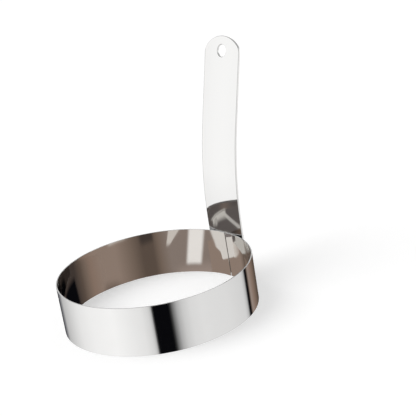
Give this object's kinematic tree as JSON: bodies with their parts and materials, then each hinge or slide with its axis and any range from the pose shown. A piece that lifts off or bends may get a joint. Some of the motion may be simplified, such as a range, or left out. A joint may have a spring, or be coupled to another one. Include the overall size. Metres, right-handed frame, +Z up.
{
  "type": "egg ring",
  "caption": "Open round cooking ring of polished steel strip, with a flat upright handle that leans outwards and ends in a hanging hole.",
  "frame": {"origin": "on the base plane, under the middle of the whole object from the back of the ring to the handle's tip", "axes": "+Z up, along the ring's axis; +Y from the ring's axis towards the handle; +X across the handle"},
  "size_m": [0.1, 0.1192, 0.1268],
  "materials": {
    "polished_steel": "mirror polished stainless steel",
    "weld_metal": "as welded, inside the joint"
  },
  "bodies": {
    "root": {"ring_band": "polished_steel", "handle": "polished_steel", "spot_weld_upper_left": "weld_metal", "spot_weld_upper_right": "weld_metal", "spot_weld_lower_left": "weld_metal", "spot_weld_lower_right": "weld_metal"}
  },
  "joints": []
}
